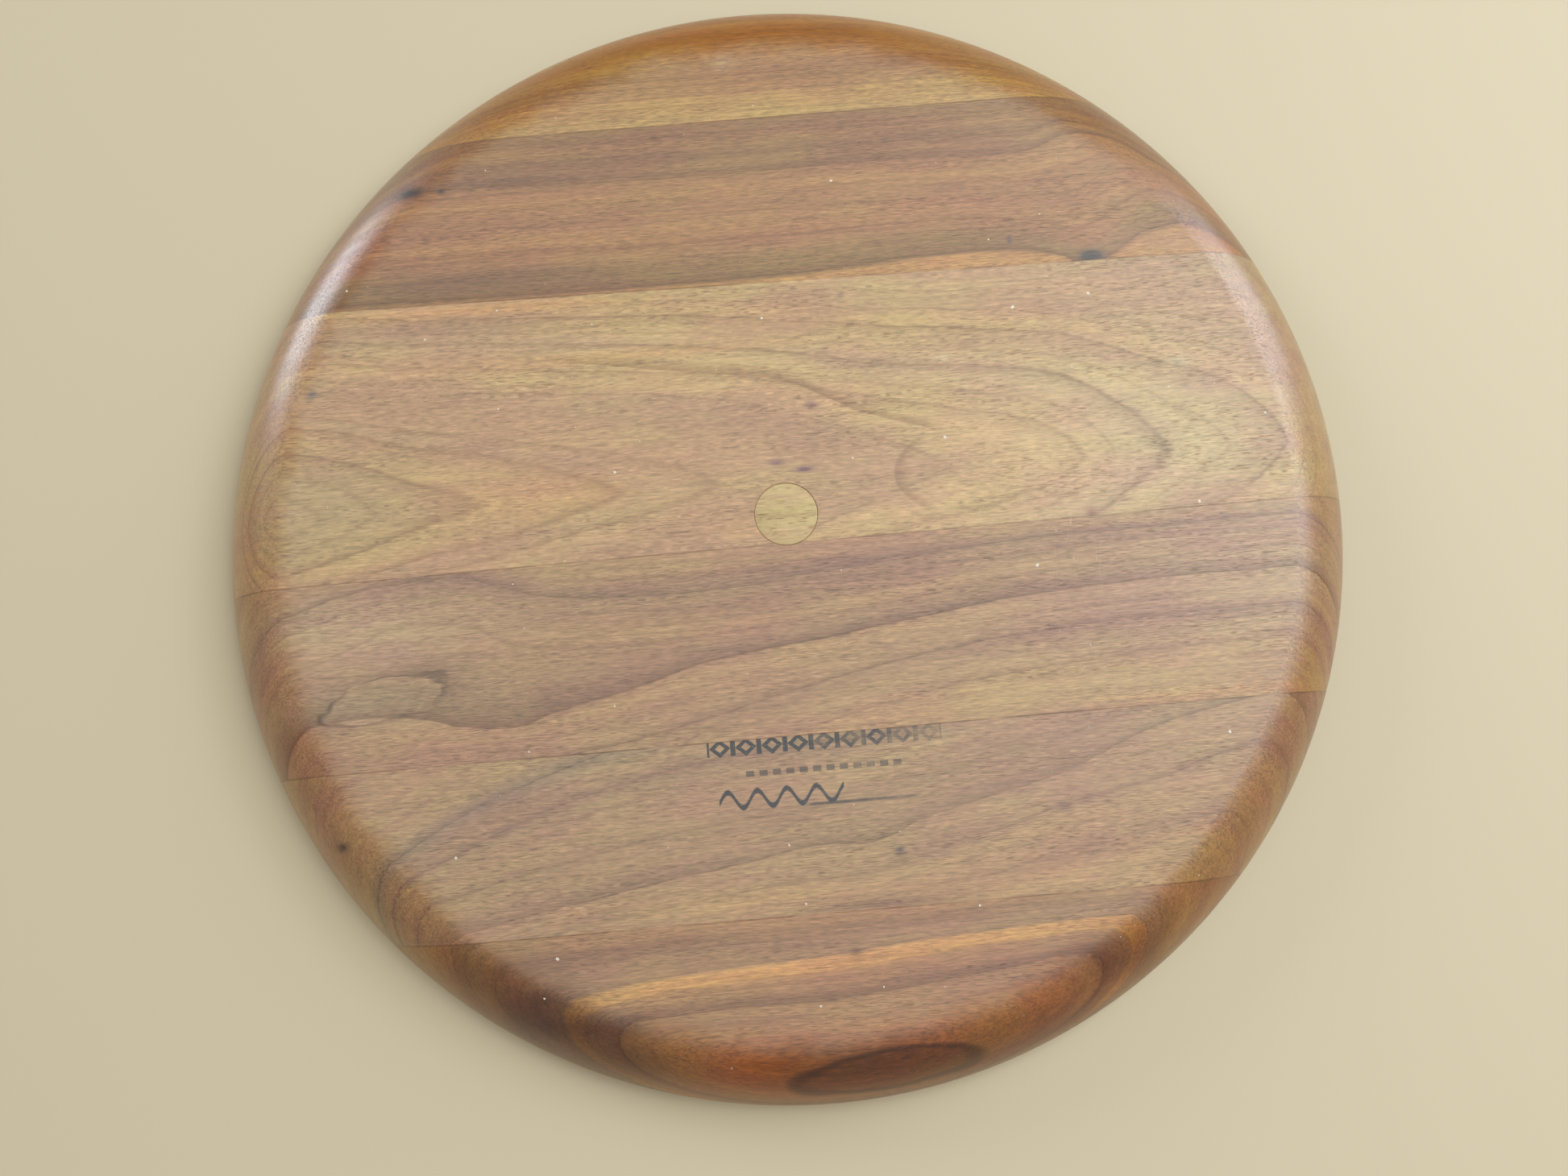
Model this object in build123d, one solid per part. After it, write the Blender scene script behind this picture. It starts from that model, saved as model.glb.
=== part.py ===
from build123d import *
import math
import os

# Lazy susan turntable. Millimetres, +Z up, origin on the spin axis at the plane it stands on.
# The staves and their grain run along X. Stave 1 is the far one (+Y), stave 6 the near one (-Y).

# Board
BOARD_R = 203.2             # 16 in across at the widest ring
BOARD_TOP = 25.6
BOARD_BOTTOM = 5.0          # underside of the rim, so the board is 20.6 thick
EQUATOR_Z = 7.3             # height of the widest ring
FLAT_R = 179.8              # where the flat face ends
SHOULDER_FOOT = 24.0        # degrees from upright where the broad edge meets the small under-round
UNDER_R = EQUATOR_Z - BOARD_BOTTOM
CREASE_R = 9.0              # softens the meeting of the flat and the edge
POCKET_R = 117.3            # pocket in the underside, round the base
POCKET_TOP = 12.8
GLUE_LINES = [(150.5, 0.0), (86.3, -0.7), (-10.5, 0.5), (-77.8, 0.2), (-138.0, 0.1)]  # (y at x=0, degrees)

# Plug over the bolt's head
PLUG_R = 11.1
PLUG_THICK = 4.0
PLUG_GAP = 0.08
PLUG_CHAMFER = 0.25

# Pivot
HEAD_R = 10.0
HEAD_THICK = 2.2
NECK_SIDE = 6.35
NECK_LONG = 4.0
BOLT_R = 3.175
BOLT_BOTTOM = 1.8
BOLT_CHAMFER = 0.5
BOARD_HOLE_R = 3.4
BUSH_R = 4.75
BUSH_BORE_R = 3.225         # runs on the bolt with 0.05 of radial clearance
BUSH_FLANGE_R = 8.0
BUSH_FLANGE_THICK = 1.0
WASHER_R = 8.0
WASHER_BORE_R = 3.3
FIBRE_THICK = 0.8
STEEL_THICK = 1.0
NUT_FLATS = 11.1
NUT_THICK = 3.6
NUT_CORNER = 0.35           # how much of each corner is turned off

# Base
BASE_R = 114.3              # 9 in across
BASE_TOP = 12.0
BASE_BOTTOM = 2.5
BASE_EDGE = 1.2
NUT_RECESS_R = 13.0
NUT_RECESS_TOP = 8.5
BASE_GLUE_LINES = [(36.0, 0.0), (-41.0, 0.0)]

# Ball bearing
TRACK_R = 75.0
BALL_R = 2.38125            # 3/16 in
BALL_COUNT = 24
BALL_Z = 13.58
RACE_CLEARANCE = 0.03
RACE_INNER_R = 66.0
RACE_OUTER_R = 84.0
RACE_THICK = 2.0
RACE_EDGE = 0.3
RACE_SEAT_GAP = 0.1         # between a race and the groove in the wood
UPPER_RACE_BOTTOM = 15.16
CAGE_INNER_R = 70.5
CAGE_OUTER_R = 79.5
CAGE_THICK = 1.2
CAGE_BALL_GAP = 0.08

# Wood screws, countersunk, in both races
SCREW_CIRCLE_R = 80.4
SCREW_COUNT = 6
SCREW_HEAD_R = 2.5
SCREW_SHANK_R = 1.4
SCREW_HEAD_DEEP = 1.5
SCREW_LONG = 8.0
SCREW_POINT = 1.6
SCREW_TIP_R = 0.2
SLOT_TURN = 23              # degrees from one screw's slot to the next one's
LOWER_START = 0             # degrees round the circle to a race's first screw
UPPER_START = 30
SLOT_WIDE = 0.7
SLOT_DEEP = 0.6
SKIN = 0.03                 # keeps pieces that bear on each other from sharing volume

# Feet
FOOT_CIRCLE_R = 92.0
FOOT_COUNT = 4
FOOT_R = 9.5
FOOT_HIGH = 4.5
FOOT_SEAT_DEEP = 2.0
FOOT_EDGE = 0.8
FOOT_SINK_R = 4.2
FOOT_SINK_DEEP = 3.2
FOOT_HEAD_R = 3.5
FOOT_HEAD_THICK = 2.0
FOOT_SHANK_R = 1.5
FOOT_HOLE_R = 1.8
FOOT_SCREW_TOP = 10.2
FOOT_HEAD_EDGE = 0.9
FOOT_SLOT_WIDE = 0.9
FOOT_SLOT_DEEP = 0.7
FOOT_TIP_R = 0.3
FOOT_START = 45

LONG = 500.0                # longer than anything here, for cutting tools


def rod(radius, low, high, x=0.0, y=0.0):
    """A plain cylinder from one height to another."""
    return Pos(x, y, (low + high) / 2) * Cylinder(radius, high - low)


def tube(outer, inner, low, high):
    """A ring of rectangular section."""
    return rod(outer, low, high) - rod(inner, low - 1, high + 1)


def ring_places(count, radius, start=0.0):
    """Places evenly spaced on a circle, each turned to face outwards."""
    step = 360.0 / count
    return [Rot(0, 0, start + i * step) * Pos(radius, 0, 0) for i in range(count)]


def board_profile():
    """Half section of the solid board: flat face, broad round shoulder and a small under-round."""
    foot = math.radians(SHOULDER_FOOT)
    with BuildSketch(Plane.XZ) as sketch:
        with BuildLine():
            under = CenterArc((BOARD_R - UNDER_R, EQUATOR_Z), UNDER_R, SHOULDER_FOOT, -90 - SHOULDER_FOOT)
            shoulder = TangentArc(under @ 0, (FLAT_R, BOARD_TOP), tangent=(-math.sin(foot), math.cos(foot)))
            Polyline(under @ 1, (0, BOARD_BOTTOM), (0, BOARD_TOP), shoulder @ 1)
        make_face()
    return sketch.sketch


def board_blank():
    """The whole board before it is parted into staves, with every recess that is turned in it."""
    board = revolve(board_profile(), Axis.Z)
    crease = board.edges().filter_by(GeomType.CIRCLE).group_by(Axis.Z)[-1]
    board = fillet(crease, CREASE_R)
    board -= rod(POCKET_R, BOARD_BOTTOM - 1, POCKET_TOP)
    groove_top = UPPER_RACE_BOTTOM + RACE_THICK
    board -= tube(RACE_OUTER_R + RACE_SEAT_GAP, RACE_INNER_R - RACE_SEAT_GAP, POCKET_TOP - 1, groove_top)
    head_seat = BOARD_TOP - PLUG_THICK - HEAD_THICK
    board -= rod(PLUG_R + PLUG_GAP, head_seat, BOARD_TOP + 1)
    mouth = PLUG_R + PLUG_GAP + PLUG_CHAMFER
    board -= Pos(0, 0, BOARD_TOP - PLUG_CHAMFER / 2) * Cone(mouth - PLUG_CHAMFER, mouth, PLUG_CHAMFER)
    neck = NECK_SIDE + 2 * SKIN
    neck_low = head_seat - NECK_LONG
    board -= Pos(0, 0, (neck_low + head_seat) / 2) * Box(neck, neck, NECK_LONG)
    board -= rod(BOARD_HOLE_R, POCKET_TOP - 1, neck_low)
    for place in ring_places(SCREW_COUNT, SCREW_CIRCLE_R, UPPER_START):
        board -= Pos(0, 0, groove_top) * place * pilot_hole(SCREW_LONG - RACE_THICK)
    return board


def pilot_hole(deep):
    """Hole for the part of a race screw that goes into wood, upwards from zero."""
    straight = rod(SCREW_SHANK_R + SKIN, 0, deep - SCREW_POINT)
    point = Cone(SCREW_SHANK_R + SKIN, SCREW_TIP_R + SKIN, SCREW_POINT)
    return straight + Pos(0, 0, deep - SCREW_POINT / 2) * point


def parted(blank, lines):
    """The blank parted along its glue lines, from +Y to -Y."""
    pieces = []
    rest = blank
    for y, turn in lines:
        far_side = Pos(0, y, 0) * Rot(0, 0, turn) * Pos(0, LONG / 2, 0) * Box(LONG, LONG, LONG)
        pieces.append(rest & far_side)
        rest = rest - far_side
    pieces.append(rest)
    return pieces


def center_plug():
    """Flush wood plug that hides the bolt's head."""
    plug = rod(PLUG_R, BOARD_TOP - PLUG_THICK, BOARD_TOP)
    return chamfer(plug.edges().group_by(Axis.Z)[-1], PLUG_CHAMFER)


def pivot_bolt():
    """Flat-headed bolt with a square neck, let into the board from above."""
    head_top = BOARD_TOP - PLUG_THICK
    head_low = head_top - HEAD_THICK
    neck_low = head_low - NECK_LONG
    head = rod(HEAD_R, head_low, head_top)
    head = chamfer(head.edges().group_by(Axis.Z)[-1], BOLT_CHAMFER)
    neck = Pos(0, 0, (neck_low + head_low) / 2) * Box(NECK_SIDE, NECK_SIDE, NECK_LONG)
    shank = rod(BOLT_R, BOLT_BOTTOM, neck_low)
    shank = chamfer(shank.edges().group_by(Axis.Z)[0], BOLT_CHAMFER)
    return head + neck + shank


def pivot_bush():
    """Flanged steel bush pressed up into the base from below."""
    flange_low = NUT_RECESS_TOP - BUSH_FLANGE_THICK
    barrel = rod(BUSH_R, NUT_RECESS_TOP, BASE_TOP)
    flange = rod(BUSH_FLANGE_R, flange_low, NUT_RECESS_TOP)
    return barrel + flange - rod(BUSH_BORE_R, 0, BASE_TOP + 1)


def washer(high, thick):
    """Flat washer whose top is at the given height."""
    return tube(WASHER_R, WASHER_BORE_R, high - thick, high)


def pivot_nut(high):
    """Thin hexagon nut with its corners turned off."""
    hexagon = extrude(RegularPolygon(NUT_FLATS / 2, 6, major_radius=False), NUT_THICK)
    corner = NUT_FLATS / math.sqrt(3)
    rounding = Cone(corner + NUT_THICK, corner - NUT_CORNER, NUT_THICK + NUT_CORNER)
    nut = Pos(0, 0, high - NUT_THICK) * hexagon
    nut &= Pos(0, 0, high - (NUT_THICK - NUT_CORNER) / 2) * Rot(180, 0, 0) * rounding
    return nut - rod(BOLT_R + SKIN, 0, high + 1)


def race(low, track_below):
    """Steel ring, drilled and countersunk; track_below says which face has the rolled ball track."""
    ring = tube(RACE_OUTER_R, RACE_INNER_R, low, low + RACE_THICK)
    ring = fillet(ring.edges().filter_by(GeomType.CIRCLE), RACE_EDGE)
    ring -= Pos(0, 0, BALL_Z) * Torus(TRACK_R, BALL_R + RACE_CLEARANCE)
    face = low if track_below else low + RACE_THICK
    turn = 0 if track_below else 180
    start = UPPER_START if track_below else LOWER_START
    for place in ring_places(SCREW_COUNT, SCREW_CIRCLE_R, start):
        ring -= Pos(0, 0, face) * place * Rot(turn, 0, 0) * screw_body(SKIN)
    return ring


def screw_body(extra):
    """Countersunk wood screw standing on its head at zero and pointing up, grown all round by extra."""
    shank_r = SCREW_SHANK_R + extra
    head = Cone(SCREW_HEAD_R + extra, shank_r, SCREW_HEAD_DEEP)
    shank = rod(shank_r, 0, SCREW_LONG - SCREW_POINT)
    point = Cone(shank_r, SCREW_TIP_R + extra, SCREW_POINT)
    return (Pos(0, 0, SCREW_HEAD_DEEP / 2) * head + shank
            + Pos(0, 0, SCREW_LONG - SCREW_POINT / 2) * point)


def race_screws(face, up, start):
    """Ring of slotted screws, their heads flush with a race's face."""
    screw = screw_body(0) - Pos(0, 0, SLOT_DEEP / 2) * Box(3 * SCREW_HEAD_R, SLOT_WIDE, SLOT_DEEP)
    turn = 0 if up else 180
    screws = []
    for i, place in enumerate(ring_places(SCREW_COUNT, SCREW_CIRCLE_R, start)):
        screws.append(Pos(0, 0, face) * place * Rot(turn, 0, SLOT_TURN * i) * screw)
    return Compound(screws)


def base_blank():
    """The whole base before it is parted, with its turned grooves, nut recess and foot seats."""
    base = rod(BASE_R, BASE_BOTTOM, BASE_TOP)
    base = fillet(base.edges(), BASE_EDGE)
    groove_low = BASE_TOP - RACE_THICK
    base -= tube(RACE_OUTER_R + RACE_SEAT_GAP, RACE_INNER_R - RACE_SEAT_GAP, groove_low, BASE_TOP + 1)
    base -= rod(NUT_RECESS_R, BASE_BOTTOM - 1, NUT_RECESS_TOP)
    base -= rod(BUSH_R + SKIN, BASE_BOTTOM, BASE_TOP + 1)
    for place in ring_places(SCREW_COUNT, SCREW_CIRCLE_R, LOWER_START):
        hole = Rot(180, 0, 0) * pilot_hole(SCREW_LONG - RACE_THICK)
        base -= Pos(0, 0, groove_low) * place * hole
    for place in ring_places(FOOT_COUNT, FOOT_CIRCLE_R, FOOT_START):
        base -= place * rod(FOOT_R + RACE_SEAT_GAP, BASE_BOTTOM - 1, BASE_BOTTOM + FOOT_SEAT_DEEP)
        base -= place * rod(FOOT_SHANK_R + SKIN, BASE_BOTTOM, FOOT_SCREW_TOP + SKIN)
    return base


def foot():
    """Rubber foot with a sunk hole for its screw."""
    body = rod(FOOT_R, 0, FOOT_HIGH)
    body = fillet(body.edges().group_by(Axis.Z)[0], FOOT_EDGE)
    body -= rod(FOOT_SINK_R, -1, FOOT_SINK_DEEP)
    return body - rod(FOOT_HOLE_R, 0, FOOT_HIGH + 1)


def foot_screws():
    """Pan-headed screws that hold the feet, one in each."""
    head_top = FOOT_SINK_DEEP
    head = rod(FOOT_HEAD_R, head_top - FOOT_HEAD_THICK, head_top)
    head = fillet(head.edges().group_by(Axis.Z)[0], FOOT_HEAD_EDGE)
    shank = rod(FOOT_SHANK_R, head_top, FOOT_SCREW_TOP - SCREW_POINT)
    point = Pos(0, 0, FOOT_SCREW_TOP - SCREW_POINT / 2) * Cone(FOOT_SHANK_R, FOOT_TIP_R, SCREW_POINT)
    slot = Box(2 * FOOT_HEAD_R + 1, FOOT_SLOT_WIDE, 2 * FOOT_SLOT_DEEP)
    screw = head + shank + point - Pos(0, 0, head_top - FOOT_HEAD_THICK) * slot
    return Compound([place * screw for place in ring_places(FOOT_COUNT, FOOT_CIRCLE_R, FOOT_START)])


def bearing_balls():
    """Steel balls on the track, halfway between the cage's openings."""
    ball = Pos(0, 0, BALL_Z) * Sphere(BALL_R)
    return Compound([place * ball for place in ring_places(BALL_COUNT, TRACK_R)])


def ball_cage():
    """Flat ring with a round pocket for each ball."""
    cage = tube(CAGE_OUTER_R, CAGE_INNER_R, BALL_Z - CAGE_THICK / 2, BALL_Z + CAGE_THICK / 2)
    for place in ring_places(BALL_COUNT, TRACK_R):
        cage -= place * rod(BALL_R + CAGE_BALL_GAP, BALL_Z - CAGE_THICK, BALL_Z + CAGE_THICK)
    return cage


def write(shape, node):
    export_step(shape, f"parts/{node}.step")


os.makedirs("parts", exist_ok=True)

for number, stave in enumerate(parted(board_blank(), GLUE_LINES), 1):
    write(stave, f"stave_{number}")
write(center_plug(), "center_plug")
write(pivot_bolt(), "pivot_bolt")
write(race(UPPER_RACE_BOTTOM, True), "upper_race")
write(race_screws(UPPER_RACE_BOTTOM, True, UPPER_START), "upper_race_screws")

under_bush = NUT_RECESS_TOP - BUSH_FLANGE_THICK
write(washer(under_bush, FIBRE_THICK), "fibre_washer")
write(washer(under_bush - FIBRE_THICK, STEEL_THICK), "steel_washer")
write(pivot_nut(under_bush - FIBRE_THICK - STEEL_THICK), "pivot_nut")

write(bearing_balls(), "bearing_balls")
write(ball_cage(), "ball_cage")

for number, stave in enumerate(parted(base_blank(), BASE_GLUE_LINES), 1):
    write(stave, f"base_stave_{number}")
write(pivot_bush(), "pivot_bush")
write(race(BASE_TOP - RACE_THICK, False), "lower_race")
write(race_screws(BASE_TOP, False, LOWER_START), "lower_race_screws")
for number, place in enumerate(ring_places(FOOT_COUNT, FOOT_CIRCLE_R, FOOT_START), 1):
    write(place * foot(), f"foot_{number}")
write(foot_screws(), "foot_screws")
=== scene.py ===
import math

import bmesh
import bpy
from mathutils import Matrix, Vector


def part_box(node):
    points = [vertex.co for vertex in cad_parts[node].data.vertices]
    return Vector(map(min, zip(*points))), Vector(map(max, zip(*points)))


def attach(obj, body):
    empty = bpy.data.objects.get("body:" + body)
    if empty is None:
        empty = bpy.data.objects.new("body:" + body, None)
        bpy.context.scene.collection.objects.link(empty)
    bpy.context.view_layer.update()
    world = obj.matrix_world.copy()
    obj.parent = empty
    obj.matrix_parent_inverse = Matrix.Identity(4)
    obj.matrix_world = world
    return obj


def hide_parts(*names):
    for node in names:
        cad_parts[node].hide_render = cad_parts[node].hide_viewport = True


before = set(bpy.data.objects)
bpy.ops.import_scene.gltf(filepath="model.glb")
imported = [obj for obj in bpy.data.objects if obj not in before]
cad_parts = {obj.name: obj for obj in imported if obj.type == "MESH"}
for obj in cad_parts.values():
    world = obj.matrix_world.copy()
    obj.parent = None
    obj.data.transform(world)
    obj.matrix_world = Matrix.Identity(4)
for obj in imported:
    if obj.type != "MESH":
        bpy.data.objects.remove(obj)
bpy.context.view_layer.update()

# Sizes, in metres. The board's outline comes from the frame; the rest are the shop drawing's own sizes.
MM = 0.001
BOARD_LOW, BOARD_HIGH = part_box("stave_3")
PLUG_LOW, PLUG_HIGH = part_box("center_plug")
BOARD_R = BOARD_HIGH.x
BOARD_TOP = BOARD_HIGH.z
BOARD_BOTTOM = BOARD_LOW.z
EQUATOR_Z = 7.3 * MM
FLAT_R = 179.8 * MM
SHOULDER_FOOT = math.radians(24.0)  # how far from upright the broad edge meets the small under-round
POCKET_R = 117.3 * MM
POCKET_TOP = 12.8 * MM
GROOVE_OUTER_R = 84.1 * MM
GROOVE_INNER_R = 65.9 * MM
GROOVE_TOP = 17.16 * MM
BOLT_SEAT = 19.4 * MM
BOLT_HOLE_R = 3.4 * MM
PLUG_R = PLUG_HIGH.x
PLUG_GAP = 0.08 * MM
PLUG_CHAMFER = 0.25 * MM
TRACK_R = 75.0 * MM  # where the balls run
CREASE_EASE = 0.65 * MM
FLOOR_HALF = 6.0
GLUE_LINES = [(150.5, 0.0), (86.3, -0.7), (-10.5, 0.5), (-77.8, 0.2), (-138.0, 0.1)]  # (mm across at x=0, degrees)
TURNS = 360
PLUG_TURNS = 96


# ---------------------------------------------------------------- shapes

def spun(profile, turns, closed=True):
    """A bmesh turned on the spin axis from a list of (radius, height)."""
    bm = bmesh.new()
    verts = [bm.verts.new((r, 0, z)) for r, z in profile]
    edges = [bm.edges.new(pair) for pair in zip(verts, verts[1:])]
    if closed:
        edges.append(bm.edges.new((verts[-1], verts[0])))
    bmesh.ops.spin(bm, geom=verts + edges, cent=(0, 0, 0), axis=(0, 0, 1), angle=math.tau, steps=turns,
                   use_merge=True)
    bmesh.ops.remove_doubles(bm, verts=bm.verts, dist=1e-6)
    bmesh.ops.recalc_face_normals(bm, faces=bm.faces)
    return bm


def ring_edges(bm, radius, height):
    """The edges of one turned ring."""
    def on_ring(v):
        return abs(math.hypot(v.co.x, v.co.y) - radius) < 1e-5 and abs(v.co.z - height) < 1e-5
    return [e for e in bm.edges if on_ring(e.verts[0]) and on_ring(e.verts[1])]


def piece(name, bm, materials, body, stands_for=(), sharp=30.0):
    """Makes a bmesh a finished piece of the object."""
    mesh = bpy.data.meshes.new(name)
    for face in bm.faces:
        face.smooth = True
    bm.to_mesh(mesh)
    bm.free()
    mesh.set_sharp_from_angle(angle=math.radians(sharp))
    for material in materials:
        mesh.materials.append(material)
    made = bpy.data.objects.new(name, mesh)
    bpy.context.scene.collection.objects.link(made)
    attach(made, body)
    if stands_for:
        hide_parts(*stands_for)
    return made


def board_profile():
    """Half section of the board, round its whole outline, from the bolt's hole outwards over the top."""
    under_r = EQUATOR_Z - BOARD_BOTTOM
    outward = Vector((math.cos(SHOULDER_FOOT), math.sin(SHOULDER_FOOT)))
    foot = Vector((BOARD_R - under_r, EQUATOR_Z)) + outward * under_r
    span = Vector((FLAT_R, BOARD_TOP)) - foot
    shoulder_r = -span.length_squared / (2 * span.dot(outward))
    middle = foot - outward * shoulder_r
    crease_angle = math.atan2(BOARD_TOP - middle.y, FLAT_R - middle.x)
    mouth = PLUG_R + PLUG_GAP
    line = [(BOLT_HOLE_R, POCKET_TOP), (BOLT_HOLE_R, BOLT_SEAT), (mouth, BOLT_SEAT),
            (mouth, BOARD_TOP - PLUG_CHAMFER), (mouth + PLUG_CHAMFER, BOARD_TOP)]
    line += [(FLAT_R * part, BOARD_TOP) for part in (0.2, 0.4, 0.6, 0.8)]
    for step in range(25):
        angle = crease_angle + (SHOULDER_FOOT - crease_angle) * step / 24
        line.append((middle.x + shoulder_r * math.cos(angle), middle.y + shoulder_r * math.sin(angle)))
    for step in range(1, 9):
        angle = SHOULDER_FOOT - (SHOULDER_FOOT + math.pi / 2) * step / 8
        line.append((BOARD_R - under_r + under_r * math.cos(angle), EQUATOR_Z + under_r * math.sin(angle)))
    line += [(POCKET_R, BOARD_BOTTOM), (POCKET_R, POCKET_TOP), (GROOVE_OUTER_R, POCKET_TOP),
             (GROOVE_OUTER_R, GROOVE_TOP), (GROOVE_INNER_R, GROOVE_TOP), (GROOVE_INNER_R, POCKET_TOP)]
    return line


def parted(bm, far, near):
    """One stave: a copy of the turned board kept between two glue lines, its sawn faces closed."""
    stave = bm.copy()
    for line, side in ((far, 1), (near, -1)):
        if line is None:
            continue
        across, turn = line[0] * MM, math.radians(line[1])
        normal = Vector((-math.sin(turn), math.cos(turn), 0)) * side
        geom = stave.verts[:] + stave.edges[:] + stave.faces[:]
        cut = bmesh.ops.bisect_plane(stave, geom=geom, dist=1e-7, plane_co=(0, across, 0), plane_no=normal,
                                     clear_outer=True)
        rim = [e for e in cut["geom_cut"] if isinstance(e, bmesh.types.BMEdge)]
        bmesh.ops.triangle_fill(stave, edges=rim, use_beauty=True, normal=normal)
    bmesh.ops.recalc_face_normals(stave, faces=stave.faces)
    return stave


def make_staves(materials):
    """The six staves, each riding on the turntable in place of its plain CAD solid."""
    board = spun(board_profile(), TURNS)
    crease = ring_edges(board, FLAT_R, BOARD_TOP)
    bmesh.ops.bevel(board, geom=crease, offset=CREASE_EASE, segments=4, profile=0.5, affect="EDGES", material=-1)
    lines = [None, *GLUE_LINES, None]
    for number in range(1, 7):
        bm = parted(board, lines[number - 1], lines[number])
        node = f"stave_{number}"
        piece(f"walnut_{node}", bm, [materials[number - 1]], "turntable", [node])
    board.free()


def make_plug(material):
    """The pale plug, its rim eased, flush with the board."""
    low, top, ease = PLUG_LOW.z, PLUG_HIGH.z, PLUG_CHAMFER
    profile = [(0, low), (PLUG_R, low), (PLUG_R, top - ease), (PLUG_R - ease * 0.3, top - ease * 0.3),
               (PLUG_R - ease, top), (PLUG_R * 0.5, top), (0, top)]
    piece("pale_plug", spun(profile, PLUG_TURNS, closed=False), [material], "turntable",
          ["center_plug"])


# ---------------------------------------------------------------- wiring of node trees

class Wiring:
    """Adds nodes to one tree. A value given to a call is either a number or another node's output."""

    def __init__(self, tree):
        self.tree = tree

    def node(self, kind, **settings):
        made = self.tree.nodes.new(kind)
        for key, value in settings.items():
            setattr(made, key, value)
        return made

    def feed(self, socket, value):
        if isinstance(value, bpy.types.NodeSocket):
            self.tree.links.new(value, socket)
        elif value is not None:
            socket.default_value = value

    def math(self, operation, a, b=None, clamp=False):
        made = self.node("ShaderNodeMath", operation=operation, use_clamp=clamp)
        for socket, value in zip(made.inputs, (a, b)):
            self.feed(socket, value)
        return made.outputs[0]

    def add(self, *values):
        total = values[0]
        for value in values[1:]:
            total = self.math("ADD", total, value)
        return total

    def times(self, a, b):
        return self.math("MULTIPLY", a, b)

    def minus(self, a, b):
        return self.math("SUBTRACT", a, b)

    def mask(self, value, low, high):
        """0 at low and 1 at high, smoothly between."""
        made = self.node("ShaderNodeMapRange", interpolation_type="SMOOTHSTEP")
        self.feed(made.inputs["Value"], value)
        self.feed(made.inputs["From Min"], low)
        self.feed(made.inputs["From Max"], high)
        return made.outputs[0]

    def remap(self, value, low, high, to_low, to_high):
        made = self.node("ShaderNodeMapRange")
        for socket, given in zip(made.inputs, (value, low, high, to_low, to_high)):
            self.feed(socket, given)
        return made.outputs[0]

    def mix(self, factor, a, b, blend="MIX"):
        made = self.node("ShaderNodeMix", data_type="RGBA", blend_type=blend)
        self.feed(made.inputs[0], factor)
        self.feed(made.inputs[6], a)
        self.feed(made.inputs[7], b)
        return made.outputs[2]

    def place(self):
        """Object coordinates."""
        return self.node("ShaderNodeTexCoord").outputs["Object"]

    def split(self, vector):
        return self.node_out("ShaderNodeSeparateXYZ", vector)

    def node_out(self, kind, vector):
        made = self.node(kind)
        self.feed(made.inputs[0], vector)
        return list(made.outputs)

    def join(self, x, y, z=0.0):
        made = self.node("ShaderNodeCombineXYZ")
        for socket, value in zip(made.inputs, (x, y, z)):
            self.feed(socket, value)
        return made.outputs[0]

    def noise(self, vector, scale=1.0, detail=2.0, rough=0.5, distortion=0.0, dimensions="3D"):
        made = self.node("ShaderNodeTexNoise", noise_dimensions=dimensions)
        self.feed(made.inputs["W" if dimensions == "1D" else "Vector"], vector)
        made.inputs["Scale"].default_value = scale
        made.inputs["Detail"].default_value = detail
        made.inputs["Roughness"].default_value = rough
        made.inputs["Distortion"].default_value = distortion
        return made.outputs[0]

    def stretch(self, vector, x, y, z):
        made = self.node("ShaderNodeVectorMath", operation="MULTIPLY")
        self.feed(made.inputs[0], vector)
        made.inputs[1].default_value = (x, y, z)
        return made.outputs[0]

    def ramp(self, value, stops):
        """A colour for each value; stops are (place from 0 to 1, colour)."""
        made = self.node("ShaderNodeValToRGB")
        self.feed(made.inputs[0], value)
        marks = made.color_ramp
        while len(marks.elements) < len(stops):
            marks.elements.new(1.0)
        for mark, (at, color) in zip(marks.elements, stops):
            mark.position = at
            mark.color = color
        return made.outputs[0]

    def group(self, tree, **given):
        made = self.node("ShaderNodeGroup", node_tree=tree)
        for name, value in given.items():
            self.feed(made.inputs[name.replace("_", " ").title()], value)
        return made.outputs


def new_group(name, inputs, outputs):
    """An empty shader node group with named sockets: (its wiring, its inputs, a call that sets an output)."""
    tree = bpy.data.node_groups.new(name, "ShaderNodeTree")
    for socket_name, start in inputs.items():
        kind = "NodeSocketColor" if isinstance(start, tuple) else "NodeSocketFloat"
        socket = tree.interface.new_socket(socket_name, in_out="INPUT", socket_type=kind)
        socket.default_value = start
    for socket_name, kind in outputs.items():
        tree.interface.new_socket(socket_name, in_out="OUTPUT", socket_type=kind)
    wiring = Wiring(tree)
    given = wiring.node("NodeGroupInput").outputs
    result = wiring.node("NodeGroupOutput").inputs
    return tree, wiring, given, result


def color(red, green, blue):
    """A display colour, 0 to 255, as the linear one that shaders take."""
    def linear(part):
        part /= 255
        return part / 12.92 if part <= 0.04045 else ((part + 0.055) / 1.055) ** 2.4
    return (linear(red), linear(green), linear(blue), 1.0)


NUMBER, COLOR = "NodeSocketFloat", "NodeSocketColor"


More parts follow.
